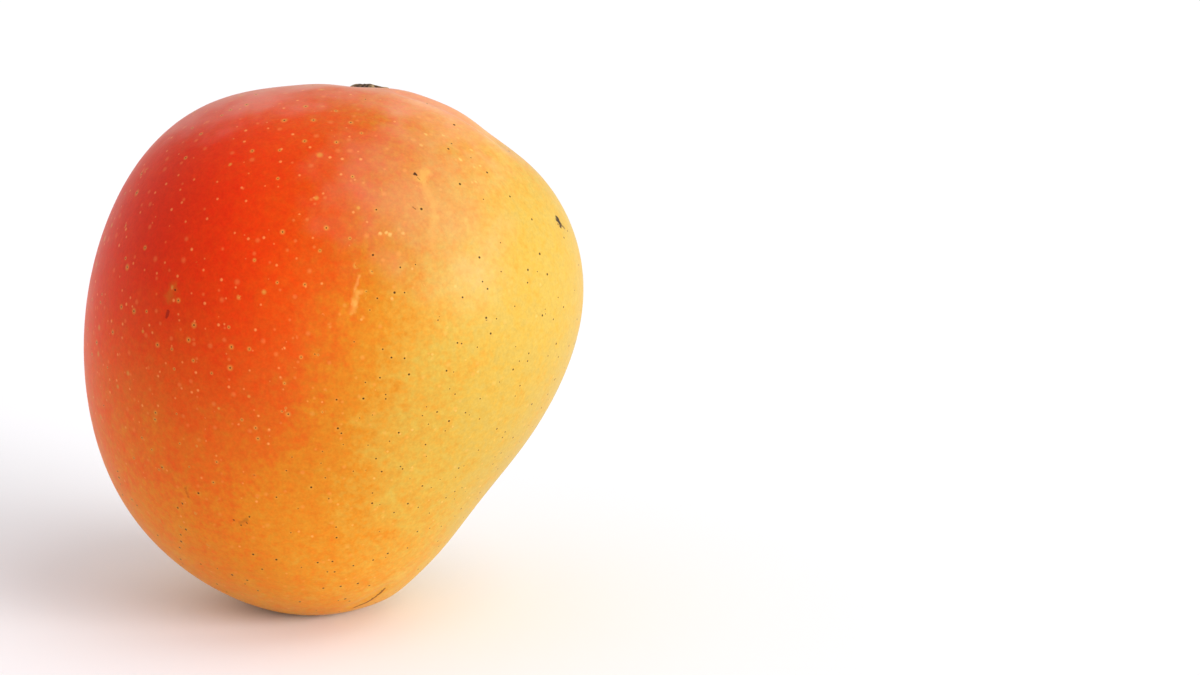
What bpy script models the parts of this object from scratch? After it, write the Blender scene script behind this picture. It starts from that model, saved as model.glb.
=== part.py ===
"""A whole ripe mango standing on its lower end, with the woody button where its stalk broke off.

The fruit is one solid, as it grew. The button is a second solid that sits in a shallow socket in the
hollow at the stalk end. Z is up, X runs along the fruit's broad side and Y through its cheeks. The origin
is the middle of the small flat spot that the fruit rests on.
"""

import math

import bmesh
import bpy
import numpy as np
from mathutils import Vector

MM = 0.001

# Outline of the fruit's broad side, seen along Y: its radius every 22.5 degrees round the core, from +X
# through +Z. The last four are the straight, slanting side that runs down to the narrow lower end.
OUTLINE_RADII = np.array([
    48.6, 53.5, 54.2, 54.0, 52.7, 54.2, 53.4, 50.4,
    49.3, 51.0, 53.5, 55.1, 54.9, 48.8, 42.8, 43.8,
]) * MM
CORE = Vector((3.5, 0.0, 53.8)) * MM  # the point inside the fruit that its radii are measured from

# Thickness through the cheeks
CHEEK_RADIUS = 43.0 * MM  # from the core to the middle of either cheek
SHOULDER_FULLNESS = 3.0 * MM  # how much thicker the stalk end is than the lower end
BACK_FULLNESS = 0.8 * MM  # the back cheek is a little fuller than the front one

# The hollow round the stalk, off centre towards the back, and the folds of skin that run out of it
STALK_AIM = Vector((0.18, 0.35, 1.0)).normalized()  # from the core to the hollow's middle
HOLLOW_DEPTH = 2.4 * MM
HOLLOW_WIDTH = 7.0 * MM
FOLD_HEIGHT = 0.35 * MM
FOLD_COUNT = 5
FOLD_DISTANCE = 13.0 * MM
FOLD_WIDTH = 5.0 * MM

# The groove that runs from the hollow over the shoulder of the slanting side
GROOVE_END = Vector((0.80, 0.08, 0.60)).normalized()
GROOVE_DEPTH = 1.4 * MM
GROOVE_WIDTH = 4.5 * MM

# Low swellings: where each is, seen from the core, how high it stands and how wide it is
SWELLINGS = (
    (Vector((0.42, 0.46, 0.86)).normalized(), 1.0 * MM, 13.0 * MM),  # back shoulder, beyond the groove
    (Vector((0.25, -0.10, -0.96)).normalized(), 0.9 * MM, 6.0 * MM),  # beak, near the lower end
)

FACES_ACROSS = 24  # quads along each side of the cube that the fruit's mesh is blown up from

# Stalk button: a woody collar with a sunken scar, turned about its own axis
BUTTON_RADIUS = 6.1 * MM  # where it meets the skin
BUTTON_HEIGHT = 3.0 * MM  # from the skin to its rim
RIM_RADIUS = 3.6 * MM
RIM_WIDTH = 0.5 * MM
SCAR_DEPTH = 1.1 * MM
SCAR_RISE = 0.45 * MM  # the broken stalk's fibres stand up in the middle of the scar
PLUG_DEPTH = 1.6 * MM  # how deep the button is rooted below the skin
PLUG_RADIUS = 5.5 * MM
BUTTON_SIDES = 48
RIB_COUNT = 16
RIB_HEIGHT = 0.16 * MM
GAP = 0.3 * MM  # clearance between the button and its socket
SEAT_CLEARANCE = 0.7 * MM  # past the collar's mean radius, so that its ribs clear the skin too
SEAT_TOP = 4.0 * MM  # how far above the seat the skin is trimmed back
NORMAL_REACH = 0.05  # half the angle, as a slope, over which the seat's tilt is read


def finish(name, colour, roughness):
    """A plain material in the part's own colour."""
    material = bpy.data.materials.new(name)
    material.use_nodes = True
    shader = material.node_tree.nodes["Principled BSDF"]
    shader.inputs["Base Color"].default_value = (*colour, 1.0)
    shader.inputs["Roughness"].default_value = roughness
    shader.inputs["Metallic"].default_value = 0.0
    return material


def outline_waves():
    """The outline's radii as a mean and waves, so that they carry smoothly round and over the cheeks."""
    return np.fft.rfft(OUTLINE_RADII) / len(OUTLINE_RADII)


WAVES = outline_waves()


def bump(distance, width):
    """1 at no distance, falling smoothly to 0 past about twice the width."""
    return math.exp(-((distance / width) ** 2))


def smooth_radius(aim):
    """The fruit's radius in the direction aim, before its hollow, groove and swellings."""
    in_plane = math.hypot(aim.x, aim.z)
    turn = math.atan2(aim.z, aim.x)
    radius = WAVES[0].real
    for order in range(1, len(WAVES)):
        share = 1.0 if order == len(WAVES) - 1 else 2.0
        wave = WAVES[order] * complex(math.cos(order * turn), math.sin(order * turn))
        radius += share * wave.real * in_plane**order
    radius -= (WAVES[0].real - CHEEK_RADIUS) * aim.y**2
    radius += SHOULDER_FULLNESS * aim.z * aim.y**2
    radius += BACK_FULLNESS * aim.y * abs(aim.y)
    return radius


def groove_share(aim):
    """How much of the groove's depth there is in the direction aim: none at its ends, all in its middle."""
    side = STALK_AIM.cross(GROOVE_END).normalized()
    off = aim.dot(side)
    ahead = side.cross(STALK_AIM)
    along = math.atan2(aim.dot(ahead), aim.dot(STALK_AIM)) / STALK_AIM.angle(GROOVE_END)
    if not 0.0 < along < 1.0:
        return 0.0
    return math.sin(math.pi * along) ** 2 * bump(off * CHEEK_RADIUS, GROOVE_WIDTH)


def surface_point(aim):
    """Where the ray from the core along aim leaves the finished skin, in metres."""
    radius = smooth_radius(aim)
    point = aim * radius
    from_stalk = point - STALK_AIM * smooth_radius(STALK_AIM)
    radius -= HOLLOW_DEPTH * bump(from_stalk.length, HOLLOW_WIDTH)
    fold = math.cos(FOLD_COUNT * math.atan2(from_stalk.y, from_stalk.x))
    radius += FOLD_HEIGHT * fold * bump(from_stalk.length - FOLD_DISTANCE, FOLD_WIDTH)
    radius -= GROOVE_DEPTH * groove_share(aim)
    for middle, height, width in SWELLINGS:
        radius += height * bump((point - middle * smooth_radius(middle)).length, width)
    return CORE + aim * radius


def object_of(name, mesh_maker, material):
    """A named object holding the bmesh, shaded smooth."""
    mesh = bpy.data.meshes.new(name)
    mesh_maker.to_mesh(mesh)
    mesh_maker.free()
    mesh.materials.append(material)
    mesh.shade_smooth()
    part = bpy.data.objects.new(name, mesh)
    bpy.context.scene.collection.objects.link(part)
    return part


def make_fruit():
    """The fruit: a cube of quads blown up to the fruit's radii and pressed flat where it rests."""
    shape = bmesh.new()
    bmesh.ops.create_cube(shape, size=2.0)
    bmesh.ops.subdivide_edges(shape, edges=shape.edges[:], cuts=FACES_ACROSS - 1, use_grid_fill=True)
    for corner in shape.verts:
        # equal angles along the cube's sides, so that the quads come out nearly the same size
        spread = [math.tan(side * math.pi / 4.0) for side in corner.co]
        corner.co = surface_point(Vector(spread).normalized())
        corner.co.z = max(corner.co.z, 0.0)
    return object_of("fruit", shape, finish("mango skin", (0.87, 0.36, 0.08), 0.4))


def stalk_frame():
    """The button's seat: the hollow's bottom, and the turn that brings +Z square to the skin there."""

    def slope(step):
        """The line over the skin from a little before the hollow's middle to a little past it."""
        ahead = surface_point((STALK_AIM + step).normalized())
        behind = surface_point((STALK_AIM - step).normalized())
        return ahead - behind

    across = STALK_AIM.cross(Vector((0.0, 1.0, 0.0))).normalized() * NORMAL_REACH
    along = STALK_AIM.cross(across).normalized() * NORMAL_REACH
    axis = slope(across).cross(slope(along)).normalized()
    if axis.dot(STALK_AIM) < 0.0:
        axis.negate()
    return surface_point(STALK_AIM), axis.to_track_quat("Z", "Y")


def ring(shape, sides, radius, height, wave=None):
    """A closed ring of points about the local Z axis. wave shifts a point's radius by its turn."""
    points = []
    for side in range(sides):
        turn = 2.0 * math.pi * side / sides
        reach = radius + (wave(turn) if wave else 0.0)
        points.append(shape.verts.new((reach * math.cos(turn), reach * math.sin(turn), height)))
    return points


def skin_between(shape, lower, upper):
    """Quads from one ring of points to the next."""
    count = len(lower)
    for side in range(count):
        after = (side + 1) % count
        shape.faces.new((lower[side], lower[after], upper[after], upper[side]))


def turned(name, profile, material):
    """A closed shape turned about the stalk's axis from (radius, height, wave) rings."""
    shape = bmesh.new()
    rings = [ring(shape, BUTTON_SIDES, radius, height, wave) for radius, height, wave in profile]
    for lower, upper in zip(rings, rings[1:]):
        skin_between(shape, lower, upper)
    shape.faces.new(reversed(rings[0]))
    shape.faces.new(rings[-1])
    bmesh.ops.recalc_face_normals(shape, faces=shape.faces[:])
    part = object_of(name, shape, material)
    part.rotation_mode = "QUATERNION"
    part.location, part.rotation_quaternion = stalk_frame()
    return part


def make_socket_cutter():
    """The stepped recess for the button: a socket for its plug and a seat for its collar."""
    socket_radius = PLUG_RADIUS + GAP
    seat_radius = BUTTON_RADIUS + SEAT_CLEARANCE
    profile = (
        (socket_radius, -PLUG_DEPTH - GAP, None),
        (socket_radius, 0.0, None),
        (seat_radius, 0.0, None),
        (seat_radius, SEAT_TOP, None),
    )
    cutter = turned("socket_cutter", profile, finish("cutter", (0.5, 0.5, 0.5), 0.5))
    cutter.hide_render = True
    cutter.display_type = "WIRE"
    return cutter


def make_button():
    """The stalk's woody button: a plug in the socket, a ribbed collar, a rim and a sunken scar."""

    def ribs(share):
        """Uneven ribs on the collar, as deep as the given share of their height."""
        return lambda turn: RIB_HEIGHT * share * (
            math.cos(RIB_COUNT * turn) + 0.6 * math.cos(5 * turn + 1.0) + 0.4 * math.cos(9 * turn + 2.0)
        )

    spread = BUTTON_RADIUS - RIM_RADIUS - RIM_WIDTH
    scar_radius = RIM_RADIUS - RIM_WIDTH
    # radius, height and share of the ribs, from the bottom of the plug up, over the rim and into the scar
    profile = (
        (PLUG_RADIUS, -PLUG_DEPTH, 0.0),
        (PLUG_RADIUS, GAP, 0.0),
        (BUTTON_RADIUS, GAP, 0.4),
        (BUTTON_RADIUS, 0.30 * BUTTON_HEIGHT, 1.0),
        (BUTTON_RADIUS - 0.20 * spread, 0.55 * BUTTON_HEIGHT, 1.0),
        (BUTTON_RADIUS - 0.55 * spread, 0.80 * BUTTON_HEIGHT, 0.8),
        (RIM_RADIUS + RIM_WIDTH, 0.94 * BUTTON_HEIGHT, 0.4),
        (RIM_RADIUS, BUTTON_HEIGHT, 0.0),
        (scar_radius, 0.95 * BUTTON_HEIGHT, 0.0),
        (0.90 * scar_radius, BUTTON_HEIGHT - SCAR_DEPTH, 0.0),
        (0.55 * scar_radius, BUTTON_HEIGHT - SCAR_DEPTH + 0.4 * SCAR_RISE, 0.0),
        (0.25 * scar_radius, BUTTON_HEIGHT - SCAR_DEPTH + SCAR_RISE, 0.0),
    )
    rings = [(radius, height, ribs(share)) for radius, height, share in profile]
    return turned("stalk_button", rings, finish("dry stalk wood", (0.16, 0.09, 0.05), 0.85))


def cut(body, cutter):
    """Takes the cutter's shape out of the body."""
    boolean = body.modifiers.new("socket", "BOOLEAN")
    boolean.operation = "DIFFERENCE"
    boolean.solver = "EXACT"
    boolean.object = cutter


for leftover in list(bpy.data.objects):
    bpy.data.objects.remove(leftover)

fruit = make_fruit()
cut(fruit, make_socket_cutter())
make_button()
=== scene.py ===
import math
import random

import bpy
import numpy as np
from mathutils import Matrix, Vector


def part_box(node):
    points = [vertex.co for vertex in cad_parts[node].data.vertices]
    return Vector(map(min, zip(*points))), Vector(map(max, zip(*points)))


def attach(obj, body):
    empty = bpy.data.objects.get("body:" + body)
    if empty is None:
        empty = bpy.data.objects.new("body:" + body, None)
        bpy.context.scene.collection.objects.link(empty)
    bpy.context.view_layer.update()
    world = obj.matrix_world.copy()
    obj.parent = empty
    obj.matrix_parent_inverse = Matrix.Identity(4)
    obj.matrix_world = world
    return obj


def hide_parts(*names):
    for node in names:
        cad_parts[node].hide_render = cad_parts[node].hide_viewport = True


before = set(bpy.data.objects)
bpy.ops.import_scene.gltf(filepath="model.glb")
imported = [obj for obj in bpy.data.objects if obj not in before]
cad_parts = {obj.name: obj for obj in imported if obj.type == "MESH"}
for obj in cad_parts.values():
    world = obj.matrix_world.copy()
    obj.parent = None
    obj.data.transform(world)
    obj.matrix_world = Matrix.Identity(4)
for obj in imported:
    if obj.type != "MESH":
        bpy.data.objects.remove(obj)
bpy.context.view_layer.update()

bpy.ops.object.select_all(action="DESELECT")


# Camera
# The photo looks at the fruit from the front and 15 degrees above it, from two thirds of a metre away. The
# fruit stands in the left half of the picture, so the camera aims past its right side.
MM = 0.001
PHOTO_WIDTH = 1200  # pixels
PHOTO_HEIGHT = 675
PIXELS_PER_MM = 4.97  # at the depth of the fruit's middle
FOCAL_LENGTH = 100.0  # mm
SENSOR_WIDTH = 36.0  # mm
CAMERA_TILT = math.radians(15.0)
CAMERA_AIM = Vector((57.4, 0.0, 55.8)) * MM

camera_distance = PHOTO_WIDTH / PIXELS_PER_MM * FOCAL_LENGTH / SENSOR_WIDTH * MM
towards_camera = Vector((0.0, -math.cos(CAMERA_TILT), math.sin(CAMERA_TILT)))
bpy.ops.object.camera_add(
    location=CAMERA_AIM + towards_camera * camera_distance,
    rotation=(math.pi / 2.0 - CAMERA_TILT, 0.0, 0.0),
)
camera = bpy.context.object
camera.data.lens = FOCAL_LENGTH
camera.data.sensor_width = SENSOR_WIDTH
bpy.context.scene.camera = camera
bpy.context.scene.view_settings.view_transform = "Standard"


# Materials
# Every material is built from nodes, on colours that were matched and are written as sRGB hex values.
def colour(code):
    """An sRGB hex colour, such as F2A33C, as the linear red, green, blue and alpha that a shader takes."""
    channels = [int(code[at:at + 2], 16) / 255.0 for at in (0, 2, 4)]
    linear = [c / 12.92 if c <= 0.04045 else ((c + 0.055) / 1.055) ** 2.4 for c in channels]
    return (*linear, 1.0)


def add_node(tree, kind, inputs=(), stops=(), **settings):
    """Adds a shader node with its own settings, its ramp's stops and its inputs, by name or in their order.

    An input takes a value, a socket of another node to link, or another node, whose first output is linked.
    """
    made = tree.nodes.new("ShaderNode" + kind)
    for name, value in settings.items():
        setattr(made, name, value)
    if stops:
        ramp = made.color_ramp.elements
        while len(ramp) < len(stops):
            ramp.new(1.0)
        for stop, (position, code) in zip(ramp, stops):
            stop.position = position
            stop.color = colour(code)
    for name, value in inputs.items() if isinstance(inputs, dict) else enumerate(inputs):
        if isinstance(value, bpy.types.Node):
            value = value.outputs[0]
        if isinstance(value, bpy.types.NodeSocket):
            tree.links.new(value, made.inputs[name])
        else:
            made.inputs[name].default_value = value
    return made


def new_material(name):
    """A material with its node tree and its Principled shader."""
    material = bpy.data.materials.new(name)
    material.use_nodes = True
    return material, material.node_tree, material.node_tree.nodes["Principled BSDF"]


# Floor and light
# A sweep of matte white paper, so wide that it fills the picture behind the fruit, under a white sky that is
# dimmer on the camera's side. A softbox far to the right leaves the soft grey shadow at the left, and one
# overhead gives the shoulder its pale sheen. Both are far away, so that they light the whole sweep evenly.
FLOOR_SIZE = 60.0  # metres
PAPER = "F6F5F8"
SKY_BACK = 0.9
SKY_FRONT = 0.60
SKY_TURN = -0.8, 0.1  # how far back the sky is as dim as in front, and as bright as at the back, from -1 to 1
SKY_OVERHEAD = 0.8  # as a share of the rest
SKY_RISE = 0.4, 1.0  # how high up it starts to dim, and where it is as dim as overhead

bpy.ops.mesh.primitive_plane_add(size=FLOOR_SIZE)
floor = bpy.context.object
floor.name = "paper_floor"
# Matte paper scatters the light evenly, so that it shows near white and without a shine.
material, tree, shader = new_material("matte white paper")
shader.inputs["Base Color"].default_value = colour(PAPER)
shader.inputs["Roughness"].default_value = 0.9
shader.inputs["Specular IOR Level"].default_value = 0.1
floor.data.materials.append(material)


def fade(value, start, end, at_start=0.0, at_end=1.0):
    """Carries a value smoothly from one number to another, as what it follows passes from start to end."""
    return add_node(tree, "MapRange", {
        "Value": value, "From Min": start, "From Max": end, "To Min": at_start, "To Max": at_end,
    }, interpolation_type="SMOOTHSTEP")


world = bpy.data.worlds.new("studio sky")
bpy.context.scene.world = world
world.use_nodes = True
tree = world.node_tree
direction = add_node(tree, "TexCoord").outputs["Generated"]
axes = add_node(tree, "SeparateXYZ", (direction,)).outputs
level = fade(axes["Y"], *SKY_TURN, SKY_FRONT, SKY_BACK)
overhead = fade(axes["Z"], *SKY_RISE, 1.0, SKY_OVERHEAD)
strength = add_node(tree, "Math", (level, overhead), operation="MULTIPLY")
sky = tree.nodes["Background"]
sky.inputs["Color"].default_value = (1.0, 1.0, 1.0, 1.0)
tree.links.new(strength.outputs["Value"], sky.inputs["Strength"])


def add_softbox(name, turn, rise, spread, strength):
    """A far, soft light. turn is from the camera's side towards the right, and rise is above the floor."""
    turn, rise = math.radians(turn), math.radians(rise)
    side = Vector((math.sin(turn) * math.cos(rise), -math.cos(turn) * math.cos(rise), math.sin(rise)))
    bpy.ops.object.light_add(type="SUN", location=side, rotation=side.to_track_quat("Z", "Y").to_euler())
    light = bpy.context.object
    light.name = name
    light.data.angle = math.radians(spread)
    light.data.energy = strength


add_softbox("right_softbox", turn=60.0, rise=13.0, spread=32.0, strength=3.5)
add_softbox("top_softbox", turn=68.0, rise=62.0, spread=30.0, strength=0.5)


# Fruit
# The whole fruit grew as one piece. A fine skin of even faces is drawn down over the solid from a sphere, and
# closes over the socket, so that it runs up to the stalk's button as it does on the real fruit.
SKIN_CUBE = 110.0 * MM  # its corners stand well outside the fruit
SKIN_CUTS = 35, 2  # each side of the cube is cut into 36, and those into 3: faces of about 0.9 mm
SOCKET_REACH = 7.2 * MM  # the socket and its trimmed edge, from the stalk's axis
SMOOTHINGS = 8
SKIN_SWELL = 0.15 * MM  # what the smoothing of the solid's facets takes away
WELD_DISTANCE = 0.005 * MM
FOLDS = (  # from where to where, seen from the core; how high in mm, or how deep below 0; and how wide
    ((0.80, -0.07, 0.60), (0.80, -0.07, 0.60), 0.5, 11.0),  # the slanting side's shoulder
    ((-0.40, 0.00, 0.90), (-0.40, 0.00, 0.90), 0.3, 15.0),
    ((-0.98, 0.00, -0.10), (-0.98, 0.00, -0.10), 0.3, 18.0),
    ((0.31, -0.10, -0.95), (0.31, -0.10, -0.95), -0.5, 6.0),  # the beak
    ((0.06, -0.34, -0.94), (0.21, -0.40, -0.89), -0.35, 1.4),  # the crease beside it
    ((-0.02, -0.02, 1.00), (0.10, -0.06, 0.99), 0.45, 5.0),  # the near lip of the hollow
    ((0.28, 0.00, 0.96), (0.60, -0.03, 0.80), -0.8, 3.0),  # the furrow that leaves the hollow
    ((0.24, -0.07, 0.97), (0.60, -0.13, 0.79), 0.6, 4.0),  # its near edge
    ((0.30, 0.12, 0.94), (0.60, 0.08, 0.79), 0.2, 4.0),  # its far one
    ((0.59, 0.02, 0.81), (0.59, 0.02, 0.81), -0.7, 5.0),  # and where it runs out
)

fruit_low, fruit_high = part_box("fruit")
core = (Vector(fruit_low) + Vector(fruit_high)) / 2.0
button_points = np.array([corner.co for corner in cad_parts["stalk_button"].data.vertices])
stalk_base = Vector(button_points.mean(axis=0))
_, spreads = np.linalg.eigh(np.cov((button_points - button_points.mean(axis=0)).T))
stalk_axis = Vector(spreads[:, 0])  # the button is a disc, so it spreads least along its axis
if stalk_axis.z < 0.0:
    stalk_axis.negate()


def off_axis(point):
    """How far a point is from the stalk's axis."""
    return (point - stalk_base - stalk_axis * (point - stalk_base).dot(stalk_axis)).length


def choose(piece):
    """Selects one piece and nothing else."""
    bpy.ops.object.select_all(action="DESELECT")
    bpy.context.view_layer.objects.active = piece
    piece.select_set(True)


def edit(piece):
    """Opens a piece in edit mode with nothing selected."""
    choose(piece)
    bpy.ops.object.mode_set(mode="EDIT")
    bpy.ops.mesh.select_all(action="DESELECT")


def select_faces(piece, wanted):
    """Selects the faces, in edit mode, whose centre passes the test."""
    bpy.ops.mesh.select_mode(type="FACE")
    bpy.ops.mesh.select_all(action="DESELECT")
    bpy.ops.object.mode_set(mode="OBJECT")
    for face in piece.data.polygons:
        face.select = wanted(face.center)
    bpy.ops.object.mode_set(mode="EDIT")


def modify(piece, kind, **settings):
    """Adds a modifier with its settings and applies it."""
    choose(piece)
    modifier = piece.modifiers.new(kind.lower(), kind)
    for name, value in settings.items():
        setattr(modifier, name, value)
    bpy.ops.object.modifier_apply(modifier=modifier.name)


cad_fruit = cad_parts["fruit"]
guide = cad_fruit.copy()
guide.data = cad_fruit.data.copy()
bpy.context.scene.collection.objects.link(guide)
edit(guide)
bpy.ops.mesh.select_all(action="SELECT")
bpy.ops.mesh.remove_doubles(threshold=WELD_DISTANCE)
bpy.ops.mesh.tris_convert_to_quads()
select_faces(guide, lambda middle: middle.z > core.z and off_axis(middle) < SOCKET_REACH)
bpy.ops.mesh.delete(type="FACE")
bpy.ops.mesh.select_mode(type="EDGE")
bpy.ops.mesh.select_non_manifold()
bpy.ops.mesh.edge_face_add()
bpy.ops.object.mode_set(mode="OBJECT")
modify(guide, "SUBSURF", levels=2, render_levels=2)

bpy.ops.mesh.primitive_cube_add(size=SKIN_CUBE, location=core)
bpy.ops.object.transform_apply(location=True, rotation=False, scale=False)
skin = bpy.context.object
skin.name = "fruit_skin"
edit(skin)
bpy.ops.mesh.select_all(action="SELECT")
for cuts in SKIN_CUTS:
    bpy.ops.mesh.subdivide(number_cuts=cuts)
bpy.ops.transform.tosphere(value=1.0)
bpy.ops.object.mode_set(mode="OBJECT")
modify(skin, "SHRINKWRAP", target=guide, wrap_method="PROJECT", use_negative_direction=True,
       use_positive_direction=False)
modify(skin, "SMOOTH", factor=0.5, iterations=SMOOTHINGS)
modify(skin, "DISPLACE", strength=SKIN_SWELL, mid_level=0.0)


def skin_point(side):
    """Where the skin is, from the core towards a side."""
    return skin.ray_cast(core, Vector(side))[1]


def distance_to_line(point, start, end):
    """How far a point is from the straight line between two others."""
    along = end - start
    share = (point - start).dot(along) / along.length_squared if along.length > 0.0 else 0.0
    return (point - start - along * min(max(share, 0.0), 1.0)).length


folds = [(skin_point(start), skin_point(end), height * MM, width * MM) for start, end, height, width in FOLDS]
normals = [corner.normal.copy() for corner in skin.data.vertices]
for corner, normal in zip(skin.data.vertices, normals):
    rise = 0.0
    for start, end, height, width in folds:
        rise += height * math.exp(-((distance_to_line(corner.co, start, end) / width) ** 2))
    moved = corner.co + normal * rise
    moved.z = max(moved.z, 0.0)
    corner.co = moved
bpy.ops.object.shade_smooth()
bpy.data.objects.remove(guide)
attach(skin, "root")
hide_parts("fruit")


# Skin colours
# A ripe mango: yellow skin, and a red blush where the sun reached it. The blush follows the direction from
# the fruit's core, so that it runs on round the back. The wax leaves a pale bloom on the shoulders, and a
# painted sheen lies over it there and on the crown. The skin is also painted lighter low on the left, as if
# lit from the floor, and painted darker on the upper front.
BLUSHES = (  # the way each blush faces, how tight it is, and how much red it adds or takes away
    ((-0.51, -0.56, 0.65), 3.3, 2.8),
    ((-0.52, -0.65, -0.55), 2.6, 0.88),
    ((-0.85, 0.50, 0.10), 3.5, 1.6),
    ((0.05, -0.15, 0.98), 8.0, 0.35),
    ((-0.15, -0.98, 0.05), 12.0, 0.30),
    ((0.43, -0.72, 0.55), 12.0, -0.30),
    ((-0.72, -0.68, 0.10), 25.0, -0.30),
    ((-0.60, -0.40, 0.70), 15.0, 0.25),
    ((0.00, -0.50, -0.86), 10.0, 0.20),
    ((0.11, -0.87, 0.47), 35.0, 0.08),
    ((0.30, -0.62, 0.72), 10.0, 0.15),
    ((0.34, 0.22, 0.92), 16.0, 0.75),
)
MOTTLING = (24.0, 0.32), (7.0, 0.52), (3.0, 0.52), (1.2, 0.84)  # sizes of its spots in mm, and their red
FULL_RED = 3.5
RIPE_COLOURS = (  # from the palest yellow to the deepest red
    (0.00, "BA9A44"), (0.07, "BF983B"), (0.16, "C48B2D"), (0.24, "C67D1D"),
    (0.33, "C97116"), (0.41, "CC6012"), (0.50, "D0520E"), (0.59, "D44806"),
    (0.67, "D63E03"), (0.76, "D73602"), (0.84, "D92F01"), (0.93, "D72801"),
)
PAINTED_LIGHT_SIDES = (  # painted light and shade: the way each lighter or darker side faces, how nearly so where it starts and is full, how much
    # painted bounce light, low on the left
    ((-0.72, 0.00, -0.69), 0.10, 0.95, 0.34),
    # painted shade on the upper front
    ((0.22, -0.62, 0.75), 0.88, 1.00, -0.10),
)
GRAIN = (0.5, 0.27), (1.4, 0.18)  # sizes of the fine grain in mm, and how far it lightens and darkens
BLOOM_AND_SHEEN_PATCHES = (  # the way each patch of wax bloom and painted sheen faces, how nearly so where it starts and is full, colour, amount
    ((0.38, -0.56, 0.74), 0.89, 1.02, "DCA090", 0.17),
    ((-0.28, 0.18, 0.94), 0.85, 1.02, "E8B0A8", 0.36),
    ((0.36, 0.16, 0.92), 0.84, 1.03, "ECBCA8", 0.31),
)
BLOOM_AND_SHEEN_EDGE = 8.0, 0.16  # how large the rags of its edge are in mm, and how far they reach

material, tree, shader = new_material("waxy fruit skin")
place = add_node(tree, "TexCoord").outputs["Object"]
outwards = add_node(tree, "VectorMath", (place, core), operation="SUBTRACT")
outwards = add_node(tree, "VectorMath", (outwards,), operation="NORMALIZE")


def facing(side):
    """How far the skin faces a side, from -1 to 1."""
    side = Vector(side).normalized()
    return add_node(tree, "VectorMath", (outwards, side), operation="DOT_PRODUCT").outputs["Value"]


def clouds(size, detail=2.0):
    """Soft noise around 0, with spots of about the given size in mm."""
    noise = add_node(tree, "TexNoise", {"Vector": place, "Scale": 1.0 / (size * MM), "Detail": detail})
    return add_node(tree, "Math", (noise, 0.5), operation="SUBTRACT")


def tint(ground, amount, code):
    """Lays a colour over the ground by an amount from 0 to 1."""
    return add_node(tree, "Mix", {0: amount, 6: ground, 7: colour(code)}, data_type="RGBA").outputs[2]


redness = 0.0
for side, tightness, amount in BLUSHES:
    blush = add_node(tree, "Math", (facing(side), 1.0), operation="SUBTRACT")
    blush = add_node(tree, "Math", (blush, tightness), operation="MULTIPLY")
    blush = add_node(tree, "Math", (blush,), operation="EXPONENT")
    redness = add_node(tree, "Math", (blush, amount, redness), operation="MULTIPLY_ADD")
for size, amount in MOTTLING:
    redness = add_node(tree, "Math", (clouds(size), amount, redness), operation="MULTIPLY_ADD")
ripeness = add_node(tree, "Math", (redness, FULL_RED), operation="DIVIDE")
ground = add_node(tree, "ValToRGB", (ripeness,), RIPE_COLOURS)
painted_light_and_grain = 1.0
# Painted light and shade by the way the skin faces, then the skin's own fine grain.
for side, start, end, amount in PAINTED_LIGHT_SIDES:
    painted_light_and_grain = add_node(tree, "Math", (fade(facing(side), start, end, 0.0, amount), painted_light_and_grain), operation="ADD")
for size, amount in GRAIN:
    painted_light_and_grain = add_node(tree, "Math", (clouds(size), amount, painted_light_and_grain), operation="MULTIPLY_ADD")
ground = add_node(tree, "VectorMath", {0: ground, "Scale": painted_light_and_grain}, operation="SCALE")
rags, rag_reach = BLOOM_AND_SHEEN_EDGE
# Partly the wax's own pale bloom, partly a painted highlight and sheen where the lamps would shine on the
# skin.
for side, start, end, code, amount in BLOOM_AND_SHEEN_PATCHES:
    bloom_and_sheen = add_node(tree, "Math", (clouds(rags), rag_reach, facing(side)), operation="MULTIPLY_ADD")
    ground = tint(ground, fade(bloom_and_sheen, start, end, 0.0, amount), code)


# Lenticels
# The skin breathes through corky dots. In the red they are pale specks, in the orange pale rings round a dark
# pore, and in the yellow brown pinpoints. They are strewn on a ball round the core and carried to the skin.
BALL = 50.0 * MM
SPECKS = 2.9, (0.31, 0.17, 0.43)  # how far apart in mm, and a shift that makes each strewing its own
RINGS = 5.0, (0.71, 0.53, 0.11)
PINPOINTS = 3.7, (0.13, 0.97, 0.29)
PALE_SPOTS = 3.4, (0.57, 0.37, 0.83)
SPECK_COLOUR = "FFB264"
RING_COLOUR = "D2A046"
PORE_COLOUR = "2A1406"
PINPOINT_COLOUR = "321800"
SPECK_RADIUS = 0.22  # mm, as are the others
PALE_SPOT_RADIUS = 0.36
RING_RADIUS = 0.42
PORE_RADIUS = 0.13
PINPOINT_RADIUS = 0.185
HALO_RADIUS = 0.45  # of the paler skin round a pinpoint
SMALLEST_DOT = 0.6  # as a share of the radius
DOT_VARIETY = 0.7  # how much larger the largest are
RED = 0.30, 0.60  # the ripeness at which the skin starts to be red, and at which it fully is
ORANGE = 0.25, 0.50
DEEP_RED = 0.70, 0.95
PAST_YELLOW = 0.22, 0.45
UPWARDS = 0.35, 0.75  # how far the skin faces up where it starts to count as the top, and where it fully does
FEW = 0.35  # the share of the rings left in the deep red, and of the pinpoints left on top

on_ball = add_node(tree, "VectorMath", {0: outwards, "Scale": BALL}, operation="SCALE")


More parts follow.
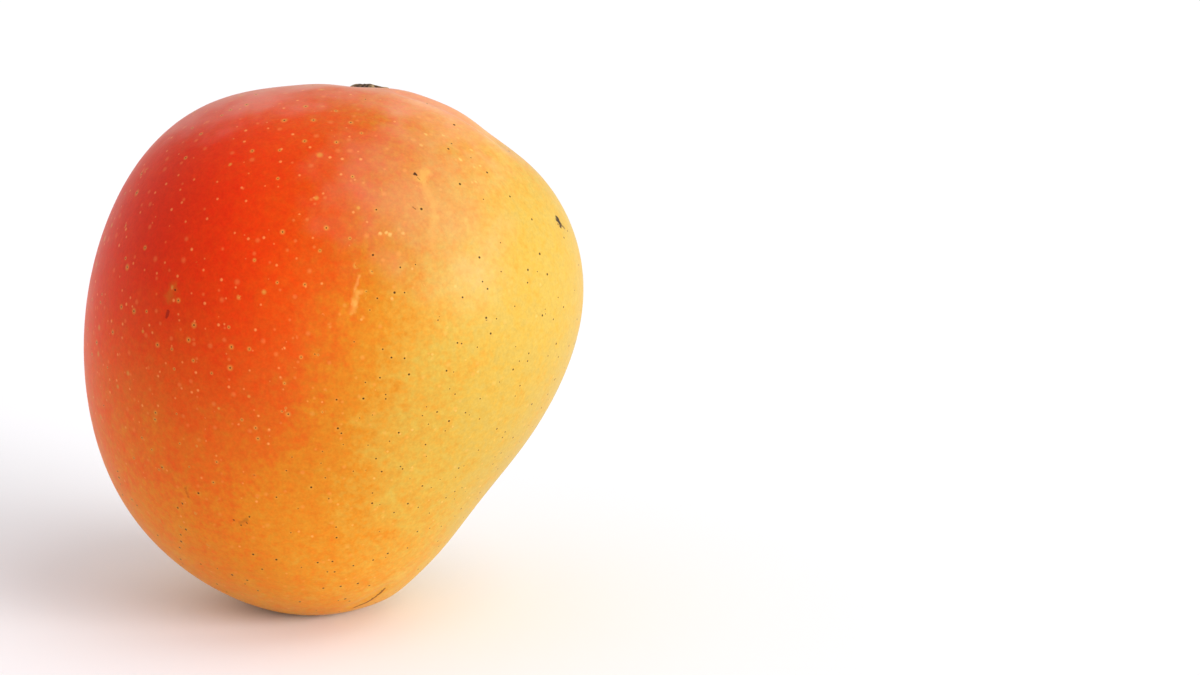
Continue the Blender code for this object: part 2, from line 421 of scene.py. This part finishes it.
def strew(apart, shift):
    """Points strewn over the skin: how far the nearest is in mm, where it is any, and two random numbers."""
    shifted = add_node(tree, "VectorMath", (on_ball, shift), operation="ADD")
    cells = add_node(tree, "TexVoronoi", {"Vector": shifted, "Scale": 1.0 / (apart * MM)})
    centre = add_node(tree, "VectorMath", (cells.outputs["Position"], shift), operation="SUBTRACT")
    depth = add_node(tree, "VectorMath", (centre,), operation="LENGTH").outputs["Value"]
    present = add_node(tree, "Math", (depth, BALL, 0.3 * apart * MM), operation="COMPARE")
    centre = add_node(tree, "VectorMath", (centre,), operation="NORMALIZE")
    centre = add_node(tree, "VectorMath", {0: centre, "Scale": BALL}, operation="SCALE")
    away = add_node(tree, "VectorMath", (centre, on_ball), operation="DISTANCE").outputs["Value"]
    away = add_node(tree, "Math", (away, MM), operation="DIVIDE")
    chances = add_node(tree, "SeparateColor", (cells.outputs["Color"],)).outputs
    return away, present, chances["Red"], chances["Green"]


def dots(strewn, radius, share, soft):
    """Round dots of about a radius in mm on a share of the strewn points, with a soft edge."""
    away, present, chance, other_chance = strewn
    sizes = other_chance, DOT_VARIETY * radius, SMALLEST_DOT * radius
    own_radius = add_node(tree, "Math", sizes, operation="MULTIPLY_ADD")
    away = add_node(tree, "Math", (away, own_radius), operation="DIVIDE")
    shown = add_node(tree, "Math", (chance, share), operation="LESS_THAN")
    shown = add_node(tree, "Math", (present, shown), operation="MULTIPLY")
    return add_node(tree, "Math", (fade(away, 1.0 - soft, 1.0 + soft, 1.0, 0.0), shown), operation="MULTIPLY")


specks, rings, pinpoints, pale_spots = (strew(*each) for each in (SPECKS, RINGS, PINPOINTS, PALE_SPOTS))
speck_share = add_node(tree, "Math", (fade(ripeness, *RED), 0.65, 0.10), operation="MULTIPLY_ADD")
below_deep_red = fade(ripeness, *DEEP_RED, 1.0, FEW)
ring_share = add_node(tree, "Math", (fade(ripeness, *ORANGE), below_deep_red), operation="MULTIPLY")
pore_share = add_node(tree, "Math", (ring_share, 0.75), operation="MULTIPLY")
below_top = fade(facing((0.0, 0.0, 1.0)), *UPWARDS, 1.0, FEW)
in_yellow = fade(ripeness, *PAST_YELLOW, 1.0, 0.02)
pinpoint_share = add_node(tree, "Math", (in_yellow, below_top), operation="MULTIPLY")
pinpoint_share = add_node(tree, "Math", (pinpoint_share, 0.9), operation="MULTIPLY")

pale_spot = dots(pale_spots, PALE_SPOT_RADIUS, 0.55, soft=0.8)
halo = dots(pinpoints, HALO_RADIUS, pinpoint_share, soft=0.8)
speck = dots(specks, SPECK_RADIUS, speck_share, soft=0.6)
ring = dots(rings, RING_RADIUS, ring_share, soft=0.7)
pore = dots(rings, PORE_RADIUS, pore_share, soft=0.4)
pinpoint = dots(pinpoints, PINPOINT_RADIUS, pinpoint_share, soft=0.4)
paleness = add_node(tree, "Math", (specks[3], 0.30, 0.14), operation="MULTIPLY_ADD")  # more on large specks
for dot, strength, code in (
    (pale_spot, 0.15, SPECK_COLOUR),
    (halo, 0.22, RING_COLOUR),
    (speck, paleness, SPECK_COLOUR),
    (ring, 0.50, RING_COLOUR),
    (pore, 0.95, PORE_COLOUR),
    (pinpoint, 0.95, PINPOINT_COLOUR),
):
    ground = tint(ground, add_node(tree, "Math", (dot, strength), operation="MULTIPLY"), code)


# Stalk end
# Round the button the skin dries to a narrow, ragged brown edge, and beyond that it stays pale. Both are laid
# over the skin's colour by the distance from the stalk's axis.
DRY_EDGE = 6.0, 7.0, "7A5230", 0.60  # from and to how far from the stalk's axis in mm, colour, amount
PALE_EDGE = 6.6, 8.6, "EAC48C", 0.45
STALK_RAGS = 3.0, 2.6  # how large the rags of both are in mm, and how far they reach

reach = add_node(tree, "VectorMath", (place, stalk_base), operation="SUBTRACT")
reach = add_node(tree, "VectorMath", (reach, stalk_axis), operation="CROSS_PRODUCT")
reach = add_node(tree, "VectorMath", (reach,), operation="LENGTH").outputs["Value"]
reach = add_node(tree, "Math", (reach, MM), operation="DIVIDE")
rags, rag_reach = STALK_RAGS
reach = add_node(tree, "Math", (clouds(rags), rag_reach, reach), operation="MULTIPLY_ADD")
at_stalk = add_node(tree, "Math", (facing(stalk_axis), 0.5), operation="GREATER_THAN")
for start, end, code, amount in (PALE_EDGE, DRY_EDGE):
    edge = add_node(tree, "Math", (fade(reach, start, end, amount, 0.0), at_stalk), operation="MULTIPLY")
    ground = tint(ground, edge, code)


# Marks
# Marks on the skin, each a stroke between two points of its skin: dried sap, nicks, pale corky rubs, flecks
# and streaks that this fruit picked up as it grew, a painted highlight along the crest beside the furrow, and
# painted shade along the fine crease at the foot. They are placed by the photo's pixels and sit on the skin
# itself.
MARKS = (  # start, end, half width in mm, how soft, colour, strength
    ((385, 92.5), (419, 102), 1.60, 1.0, "F0BC98", 0.15),  # painted highlight: a pale sheen along the crest beside the furrow
    ((419, 102), (449, 115), 1.80, 1.0, "F0BC98", 0.17),
    ((425.7, 134.3), (426.2, 134.4), 0.26, 0.9, "F0C870", 0.45),  # yellow flecks below it
    ((421.5, 145), (422, 145.2), 0.26, 0.9, "F0C870", 0.40),
    ((443, 135.3), (443.8, 135.6), 0.26, 0.9, "F0C870", 0.40),
    ((457, 137.5), (457.8, 138), 0.26, 0.9, "F0C870", 0.40),
    ((460.2, 159.5), (460.6, 159.8), 0.26, 0.9, "F0C870", 0.45),
    ((471, 150), (471.6, 150.4), 0.26, 0.9, "F0C870", 0.40),
    ((479.8, 166), (480.2, 166.3), 0.24, 0.9, "F0C870", 0.40),
    ((475.8, 181.8), (476.2, 182), 0.24, 0.9, "F0C870", 0.40),
    ((425, 172), (421, 180), 0.95, 0.9, "D9AC50", 0.42),  # yellow patch under the sap spot
    ((415.2, 174.6), (415.4, 174.9), 0.36, 0.25, "2B1406", 0.95),  # sap spot
    ((417, 177.5), (424, 184), 0.10, 0.5, "7A5420", 0.70),
    ((414, 207), (416, 209), 0.17, 0.4, "3A1D0A", 0.85),
    ((558.2, 220.3), (560, 223.2), 0.95, 0.35, "2E1A08", 1.00),  # nick near the right edge
    ((561, 224.5), (564.5, 228), 0.26, 0.5, "6E4F1A", 0.85),
    ((359, 276), (355, 291), 0.22, 1.0, "E8AC60", 0.28),  # corky rub
    ((357.5, 293), (355, 304), 0.45, 1.1, "E6B45C", 0.36),
    ((355, 304), (351.5, 313), 0.40, 1.1, "E6B45C", 0.30),
    ((347, 312), (342, 320), 0.90, 1.2, "DC9A30", 0.15),
    ((425, 186), (434, 206), 0.85, 1.0, "E2B45C", 0.22),  # yellow streak below the sap spot
    ((434, 206), (431, 246), 0.70, 1.0, "E2B45C", 0.16),
    ((380, 233.8), (380.4, 233.9), 0.30, 0.9, "F0C070", 0.50),  # a row of pale specks
    ((386, 232.6), (386.4, 232.7), 0.26, 0.9, "F0C070", 0.50),
    ((389.6, 234.4), (390, 234.6), 0.28, 0.9, "F0C070", 0.50),
    ((403.5, 233.6), (403.9, 233.8), 0.28, 0.9, "F0C070", 0.40),
    ((168, 312), (167, 317), 0.34, 0.5, "8C1606", 0.70),  # dark red scab
    ((186, 488), (188, 497), 0.30, 0.7, "A83208", 0.50),
    ((174, 288), (169, 297), 0.90, 1.0, "B8701C", 0.38),  # olive patch
    ((175.5, 290), (175.6, 290.2), 0.17, 0.3, "33190A", 0.90),
    ((240, 523), (246, 520), 0.40, 0.9, "9A5A18", 0.45),  # pores close together
    ((233, 519), (233.4, 519.4), 0.20, 0.4, "4A2A0C", 0.85),
    ((249, 517), (249.4, 517.4), 0.21, 0.4, "3A200A", 0.90),
    ((247, 523), (247.4, 523.4), 0.19, 0.4, "4A2A0C", 0.85),
    ((240, 525), (240.4, 525.4), 0.18, 0.4, "4A2A0C", 0.85),
    ((354, 607.5), (366, 602.5), 0.26, 0.6, "6A3206", 0.85),  # painted shade: a dark line along the crease at the foot
    ((366, 602.5), (376, 596.5), 0.34, 0.5, "6A3206", 0.95),
    ((376, 596.5), (385, 588.5), 0.26, 0.6, "6A3206", 0.90),
)
MARK_BENDS = 2.2, 0.9  # how long the bends in a mark are, and how far they carry it aside, in mm
MARK_RAGS = 0.7, 2.2  # how large the rags of its edge are in mm, and how far they reach, in half widths


def on_skin(px, py):
    """The point of the skin behind a pixel of the photo."""
    across = (px - PHOTO_WIDTH / 2.0) / PHOTO_WIDTH * SENSOR_WIDTH
    up = (PHOTO_HEIGHT / 2.0 - py) / PHOTO_WIDTH * SENSOR_WIDTH
    ray = camera.rotation_euler.to_matrix() @ Vector((across, up, -FOCAL_LENGTH))
    return skin.ray_cast(camera.location, ray)[1]


bend_size, bend_reach = (length * MM for length in MARK_BENDS)
bend = add_node(tree, "TexNoise", {"Vector": place, "Scale": 1.0 / bend_size, "Detail": 1.0}).outputs["Color"]
bend = add_node(tree, "VectorMath", (bend, (0.5, 0.5, 0.5)), operation="SUBTRACT")
bent_place = add_node(tree, "VectorMath", (bend, [bend_reach] * 3, place), operation="MULTIPLY_ADD")
rags, rag_reach = MARK_RAGS
fray = add_node(tree, "Math", (clouds(rags), rag_reach), operation="MULTIPLY")
for start, end, half_width, soft, code, strength in MARKS:
    start, end = on_skin(*start), on_skin(*end)
    along = end - start
    beside = add_node(tree, "VectorMath", (bent_place, start), operation="SUBTRACT")
    share = add_node(tree, "VectorMath", (beside, along / along.length_squared), operation="DOT_PRODUCT")
    share = add_node(tree, "Clamp", (share.outputs["Value"],))
    nearest = add_node(tree, "VectorMath", {0: along, "Scale": share}, operation="SCALE")
    away = add_node(tree, "VectorMath", (beside, nearest), operation="DISTANCE").outputs["Value"]
    away = add_node(tree, "Math", (away, half_width * MM), operation="DIVIDE")
    away = add_node(tree, "Math", (away, fray), operation="ADD")
    ground = tint(ground, fade(away, 1.0 - soft, 1.0 + soft, strength, 0.0), code)


# Skin finish
# Smooth, thin wax: a broad soft highlight, broken a little by the corky dots and by a faint unevenness. It is
# a shaded relief, a few hundredths of a millimetre high.
height = 0.0
for pattern, rise in (  # what stands up or lies deeper, and by how many mm
    (clouds(1.1), 0.020),
    (clouds(5.0), 0.060),
    (speck, 0.025),
    (pore, -0.050),
    (pinpoint, -0.030),
):
    height = add_node(tree, "Math", (pattern, rise, height), operation="MULTIPLY_ADD")
bump = add_node(tree, "Bump", {"Distance": MM, "Height": height})
roughness = add_node(tree, "Math", (clouds(3.0), 0.10, 0.40), operation="MULTIPLY_ADD")
shader.inputs["Specular IOR Level"].default_value = 0.10
tree.links.new(ground, shader.inputs["Base Color"])
tree.links.new(roughness.outputs["Value"], shader.inputs["Roughness"])
tree.links.new(bump.outputs["Normal"], shader.inputs["Normal"])
skin.data.materials.append(material)


# Stalk button
# Where the stalk broke off, a woody button is left. Its collar is turned and then furrowed like dry cork,
# from the skin up to a rim. Inside the rim lies the sunken dark scar. It grew with the fruit and dried there.
COLLAR_PROFILE = (  # distance from the axis and height over the seat, in mm, from below the skin to the scar
    (0.0, -0.8), (5.6, -0.8), (6.15, -0.2), (6.35, 0.4), (6.3, 0.9), (6.05, 1.35), (5.65, 1.75), (5.2, 2.1),
    (4.7, 2.4), (4.2, 2.62), (3.8, 2.72), (3.5, 2.70), (3.25, 2.5), (3.1, 2.15), (2.95, 1.9), (2.6, 1.8),
    (2.1, 1.75), (1.5, 1.8), (0.8, 1.85), (0.0, 1.88),
)
COLLAR_STEPS = 180
BUTTON_HEIGHT = 3.0 * MM  # from the seat to the rim, as in the solid
BUTTON_TILT = math.radians(10.0)  # it dried down towards the furrow
BUTTON_SINK = 0.20 * MM
FLANK = 3.3, 4.5  # mm from the axis: no furrows nearer than the first, all of them beyond the second
FURROWS = (  # how many there are round the collar, and how strong they are
    (3, 0.45), (5, 0.40), (8, 0.35), (13, 0.32), (23, 0.28), (37, 0.20), (61, 0.12),
)
FURROW_DEPTH = 0.17 * MM
FURROW_TWIST = 0.10 / MM  # a tenth of a radian for each mm of height
FURROW_LIFT = 0.6  # how far a furrow also moves the collar's top, as a share of its depth
CRACKS = 12
CRACK_DEPTH = 0.45 * MM
CRACK_WIDTH = math.radians(2.2)
RIDGE_LEVEL = 0.55  # how pale the flank is where nothing marks it, from furrow to ridge
RIDGE_BY_FURROWS = 0.35
RIDGE_BY_CRACKS = 0.7
BARK_GRAIN = 0.45, 0.9  # how large it is in mm, and how far it lightens and darkens
BARK_AND_SHADE_COLOURS = (0.0, "1A110A"), (0.35, "3A281A"), (0.62, "5E4630"), (0.95, "A08660")  # from furrow to ridge: painted shade in the furrows, painted highlight on the ridges

rng = random.Random(11)
button_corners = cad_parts["stalk_button"].data.vertices
top = max((corner.co - stalk_base).dot(stalk_axis) for corner in button_corners)
seat = stalk_base + stalk_axis * (top - BUTTON_HEIGHT - BUTTON_SINK)
upright = stalk_axis.to_track_quat("Z", "Y").to_matrix().to_4x4()
seat_place = Matrix.Translation(seat) @ Matrix.Rotation(BUTTON_TILT, 4, "Y") @ upright


def waves(turn, parts):
    """Waves round the axis, added up. Each has how many there are in a round, a start and a strength."""
    return sum(strong * math.cos(count * turn + start) for count, start, strong in parts)


def seat_piece(piece, name):
    """Carries a piece made at the origin to the button's seat, names it, hangs it on the root and hides the
    solid's button.
    """
    choose(piece)
    piece.matrix_world = seat_place @ piece.matrix_world
    bpy.ops.object.transform_apply()
    piece.name = name
    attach(piece, "root")
    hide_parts("stalk_button")


outline = bpy.data.meshes.new("stalk_collar")
outline.from_pydata([(r * MM, 0.0, h * MM) for r, h in COLLAR_PROFILE],
                    [(at, at + 1) for at in range(len(COLLAR_PROFILE) - 1)], [])
collar = bpy.data.objects.new("stalk_collar", outline)
bpy.context.scene.collection.objects.link(collar)
edit(collar)
bpy.ops.mesh.select_all(action="SELECT")
bpy.ops.mesh.spin(steps=COLLAR_STEPS, angle=2.0 * math.pi, center=(0.0, 0.0, 0.0), axis=(0.0, 0.0, 1.0))
bpy.ops.mesh.select_all(action="SELECT")
bpy.ops.mesh.remove_doubles(threshold=WELD_DISTANCE)
bpy.ops.mesh.normals_make_consistent(inside=False)
bpy.ops.object.mode_set(mode="OBJECT")

furrows = [(count, rng.uniform(0.0, 2.0 * math.pi), strong) for count, strong in FURROWS]
cracks = [(rng.uniform(0.0, 2.0 * math.pi), rng.uniform(0.5, 1.0)) for _ in range(CRACKS)]
# How high the flank stands, from furrow to ridge: it drives the bark's painted shade and highlight.
ridge = collar.data.attributes.new("ridge", "FLOAT", "POINT")
flank_start, flank_end = FLANK
for at, corner in enumerate(collar.data.vertices):
    reach = math.hypot(corner.co.x, corner.co.y)
    turn = math.atan2(corner.co.y, corner.co.x) + FURROW_TWIST * corner.co.z
    share = min(max((reach / MM - flank_start) / (flank_end - flank_start), 0.0), 1.0)
    wave = waves(turn, furrows)
    split = 0.0
    for middle, depth in cracks:
        off = math.remainder(turn - middle, 2.0 * math.pi) / CRACK_WIDTH
        split += depth * math.exp(-off * off)
    push = share * (FURROW_DEPTH * wave - CRACK_DEPTH * split)
    if reach > 0.0:
        corner.co.x += push * corner.co.x / reach
        corner.co.y += push * corner.co.y / reach
    corner.co.z += FURROW_LIFT * push
    ridge.data[at].value = share * (RIDGE_LEVEL + RIDGE_BY_FURROWS * wave - RIDGE_BY_CRACKS * split)
bpy.ops.object.shade_smooth()
seat_piece(collar, "stalk_collar")

# Dry bark is dull and grey brown. It is painted paler on its ridges as a highlight, and nearly black in its
# furrows, cracks and scar as shade.
material, tree, shader = new_material("dry corky bark")
place = add_node(tree, "TexCoord").outputs["Object"]
grain_size, grain_reach = BARK_GRAIN
grain = clouds(grain_size, detail=3.0)
raised = add_node(tree, "Attribute", attribute_name="ridge").outputs["Fac"]
raised = add_node(tree, "Math", (grain, grain_reach, raised), operation="MULTIPLY_ADD")
bark = add_node(tree, "ValToRGB", (raised,), BARK_AND_SHADE_COLOURS)
bump = add_node(tree, "Bump", {"Distance": 0.15 * MM, "Height": grain})
shader.inputs["Roughness"].default_value = 0.85
shader.inputs["Specular IOR Level"].default_value = 0.25
tree.links.new(bark.outputs["Color"], shader.inputs["Base Color"])
tree.links.new(bump.outputs["Normal"], shader.inputs["Normal"])
collar.data.materials.append(material)


# Stalk rim
# The pale, wavy lip of cork where the stalk parted from the button. It is a thin ring whose width, thickness
# and height waver, and it grew as one with the collar, half sunk in the collar's top.
RIM_RADIUS = 3.55 * MM
RIM_THICKNESS = 0.30 * MM
RIM_HEIGHT = 2.66 * MM
SPREAD_WAVES = (3, 1.0, 0.035), (7, 0.0, 0.020), (13, 2.0, 0.012)  # how many, where they start, how strong
THICKNESS_WAVES = (5, 0.5, 0.25), (11, 0.0, 0.15)
HEIGHT_WAVES = (2, 0.7, 0.08), (9, 0.0, 0.05)  # mm
CORK_GRAIN = 0.5 * MM
CORK_COLOURS = (0.30, "4A3624"), (0.50, "7E6646"), (0.72, "AE956C")

bpy.ops.object.select_all(action="DESELECT")
bpy.ops.mesh.primitive_torus_add(major_radius=RIM_RADIUS, minor_radius=RIM_THICKNESS, major_segments=120,
                                 minor_segments=12)
rim = bpy.context.object
for corner in rim.data.vertices:
    turn = math.atan2(corner.co.y, corner.co.x)
    spread = 1.0 + waves(turn, SPREAD_WAVES)
    corner.co.x *= spread
    corner.co.y *= spread
    corner.co.z *= 1.0 + waves(turn, THICKNESS_WAVES)
    corner.co.z += RIM_HEIGHT + waves(turn, HEIGHT_WAVES) * MM
bpy.ops.object.shade_smooth()
seat_piece(rim, "stalk_rim")

# Weathered cork is paler than the bark under it, and as dull.
material, tree, shader = new_material("weathered cork")
place = add_node(tree, "TexCoord").outputs["Object"]
grain = add_node(tree, "TexNoise", {"Vector": place, "Scale": 1.0 / CORK_GRAIN, "Detail": 3.0})
cork = add_node(tree, "ValToRGB", (grain,), CORK_COLOURS)
bump = add_node(tree, "Bump", {"Distance": 0.10 * MM, "Height": grain})
shader.inputs["Roughness"].default_value = 0.8
shader.inputs["Specular IOR Level"].default_value = 0.25
tree.links.new(cork.outputs["Color"], shader.inputs["Base Color"])
tree.links.new(bump.outputs["Normal"], shader.inputs["Normal"])
rim.data.materials.append(material)


# Stalk fibres
# The torn ends of the stalk's fibres, a tuft of short blunt stubs that stands up in the middle of the scar.
# They are cones with a broken edge, set like the seeds of a sunflower, each with its own lean and length.
FIBRES = 58
FIBRE_THICKNESS = 0.17 * MM
FIBRE_LENGTH = 1.0 * MM
FIBRE_EDGE = 0.03 * MM
FIBRE_LEAN = 0.22  # radians at most
FIBRE_BREADTH = 0.6, 1.2  # the least and the most, as a share of the thickness
FIBRE_TALLNESS = 0.35, 0.8  # as a share of the length
TUFT_DOME = 0.35  # how much of the length the middle of the tuft has more
TUFT_RADIUS = 2.2 * MM
SCAR_HEIGHT = 1.65 * MM
GOLDEN_TURN = math.radians(137.5)
TURN_SLACK = 0.25
STRAW_GRAIN = 0.8 * MM
STRAW_COLOURS = (0.30, "5C4A2C"), (0.50, "A8915C"), (0.72, "D8C594")

bpy.ops.object.select_all(action="DESELECT")
bpy.ops.mesh.primitive_cone_add(vertices=7, radius1=FIBRE_THICKNESS, radius2=0.5 * FIBRE_THICKNESS,
                                depth=FIBRE_LENGTH, location=(0.0, 0.0, FIBRE_LENGTH / 2.0))
bpy.ops.object.transform_apply()
fibre = bpy.context.object
edit(fibre)
bpy.ops.mesh.select_all(action="SELECT")
bpy.ops.mesh.bevel(offset=FIBRE_EDGE, segments=1)
bpy.ops.object.mode_set(mode="OBJECT")
tuft = []
for at in range(FIBRES):
    copy = fibre.copy()
    copy.data = fibre.data.copy()
    bpy.context.scene.collection.objects.link(copy)
    spread = TUFT_RADIUS * math.sqrt((at + 0.5) / FIBRES)
    turn = at * GOLDEN_TURN + rng.uniform(-TURN_SLACK, TURN_SLACK)
    tall = rng.uniform(*FIBRE_TALLNESS) + TUFT_DOME * (1.0 - spread / TUFT_RADIUS)
    copy.location = (spread * math.cos(turn), spread * math.sin(turn), SCAR_HEIGHT)
    copy.rotation_euler = (rng.uniform(-FIBRE_LEAN, FIBRE_LEAN), rng.uniform(-FIBRE_LEAN, FIBRE_LEAN), turn)
    copy.scale = (1.0, rng.uniform(*FIBRE_BREADTH), tall)
    tuft.append(copy)
bpy.data.objects.remove(fibre)
bpy.ops.object.select_all(action="DESELECT")
for copy in tuft:
    copy.select_set(True)
bpy.context.view_layer.objects.active = tuft[0]
bpy.ops.object.transform_apply()
bpy.ops.object.join()
fibres = bpy.context.object
seat_piece(fibres, "stalk_fibres")

# Dry straw: pale, matte stubs that catch a little more light than the scar around them.
material, tree, shader = new_material("torn stalk fibres")
place = add_node(tree, "TexCoord").outputs["Object"]
grain = add_node(tree, "TexNoise", {"Vector": place, "Scale": 1.0 / STRAW_GRAIN, "Detail": 2.0})
straw = add_node(tree, "ValToRGB", (grain,), STRAW_COLOURS)
shader.inputs["Roughness"].default_value = 0.75
shader.inputs["Specular IOR Level"].default_value = 0.3
tree.links.new(straw.outputs["Color"], shader.inputs["Base Color"])
fibres.data.materials.append(material)
